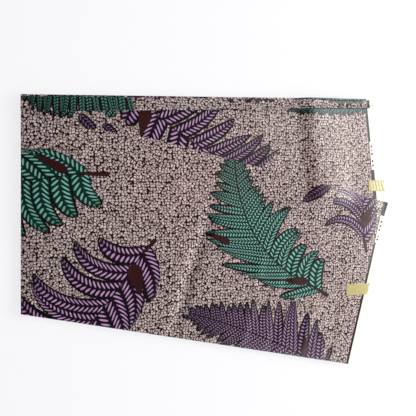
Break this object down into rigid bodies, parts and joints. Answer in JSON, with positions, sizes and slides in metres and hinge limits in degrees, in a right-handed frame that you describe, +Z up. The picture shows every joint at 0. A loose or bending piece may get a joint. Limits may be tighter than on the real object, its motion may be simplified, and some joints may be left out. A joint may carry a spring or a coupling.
{
  "type": "folded wax print cloth",
  "caption": "Length of printed cotton cloth folded back and forth into a flat wedge-shaped pile, with tape tabs on its selvedges, lying flat.",
  "frame": {"origin": "under the middle of the pile's bounding box, on the surface it lies on", "axes": "+Z up, +X from the centre fold towards the selvedges, +Y from the lower panel towards the top turnover"},
  "size_m": [0.6456, 0.484, 0.0192],
  "materials": {
    "printed_cotton": "waxed plain weave cotton, dark ground with pale pebbles and teal and lilac ferns, slight gloss",
    "layered_cotton": "edges of many folded layers of the same cotton, matt",
    "adhesive_tape": "clear yellow-olive adhesive tape, soft gloss"
  },
  "bodies": {
    "root": {"upper_panel": "printed_cotton", "lower_panel": "printed_cotton", "top_turnover": "printed_cotton", "folded_stack": "layered_cotton", "tape_tab_upper": "adhesive_tape", "tape_tab_lower": "adhesive_tape"}
  },
  "joints": []
}
